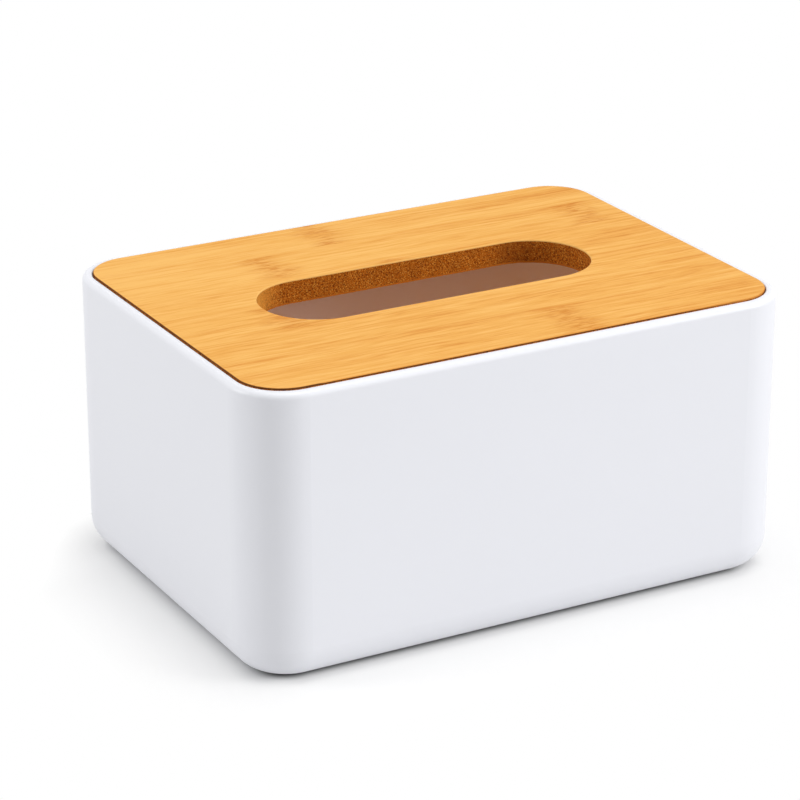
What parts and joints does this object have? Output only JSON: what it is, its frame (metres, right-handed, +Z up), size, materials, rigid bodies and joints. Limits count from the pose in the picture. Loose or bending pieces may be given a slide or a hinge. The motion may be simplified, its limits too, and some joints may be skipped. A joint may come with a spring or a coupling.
{
  "type": "tissue box cover",
  "caption": "Rounded white plastic tissue box cover with a drop-in bamboo-faced board lid that has an oblong dispensing slot and lifts straight out for refilling.",
  "frame": {"origin": "on the table under the middle of the box, at the foot pads' undersides", "axes": "+X along the long side, +Y from the front long wall to the back one, +Z up"},
  "size_m": [0.18, 0.13, 0.09],
  "materials": {
    "white_plastic": "smooth satin moulding",
    "fibreboard": "sawn and sanded, speckled",
    "bamboo_face": "satin lacquer, grain along the long side",
    "bamboo_back": "plain sanded",
    "pad_rubber": "soft matt"
  },
  "bodies": {
    "box": {"box_body": "white_plastic", "foot_pad_front_left": "pad_rubber", "foot_pad_front_right": "pad_rubber", "foot_pad_back_left": "pad_rubber", "foot_pad_back_right": "pad_rubber"},
    "lid": {"lid_core": "fibreboard", "lid_face_veneer": "bamboo_face", "lid_back_veneer": "bamboo_back"}
  },
  "joints": [
    {"name": "lid_lift", "type": "slide", "parent": "box", "child": "lid", "axis": [0, 0, 1], "range_m": [0, 0.05]}
  ]
}
